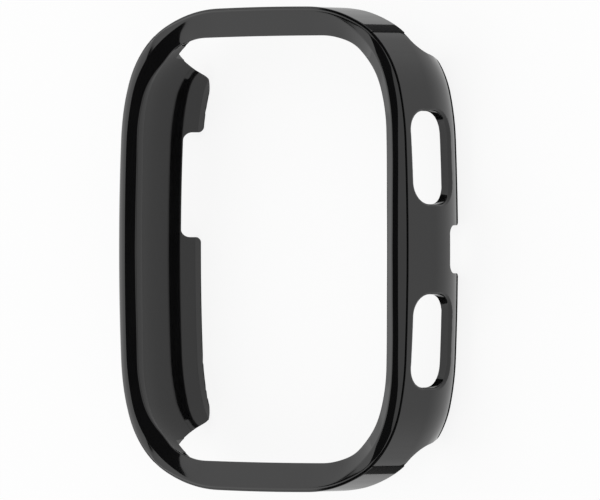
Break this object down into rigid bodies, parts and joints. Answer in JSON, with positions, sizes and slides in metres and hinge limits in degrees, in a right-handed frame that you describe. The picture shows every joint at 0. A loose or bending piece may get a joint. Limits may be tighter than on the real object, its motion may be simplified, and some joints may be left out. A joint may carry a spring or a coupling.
{
  "type": "smartwatch case",
  "caption": "Open-fronted hard-plastic bumper that snaps round a rectangular smartwatch, with flexing side rails, button windows and rear lips.",
  "frame": {"origin": "centre of the case on the plane of its rear edges and lips", "axes": "+X across the case towards the button windows, +Y along its length, +Z out of the open front"},
  "size_m": [0.0408, 0.049, 0.0097],
  "materials": {
    "gloss_black_plastic": "gloss black moulded plastic"
  },
  "bodies": {
    "bezel": {"front_bezel": "gloss_black_plastic"},
    "right_rail": {"right_side_rail": "gloss_black_plastic"},
    "left_rail": {"left_side_rail": "gloss_black_plastic"}
  },
  "joints": [
    {"name": "right_rail_flex", "type": "hinge", "parent": "bezel", "child": "right_rail", "pos_m": [0.0203, 0, 0.0089], "axis": [0, -1, 0], "range_deg": [0, 8], "stiffness_Nm_per_rad": 0.5},
    {"name": "left_rail_flex", "type": "hinge", "parent": "bezel", "child": "left_rail", "pos_m": [-0.0203, 0, 0.0089], "axis": [0, 1, 0], "range_deg": [0, 8], "stiffness_Nm_per_rad": 0.5}
  ]
}
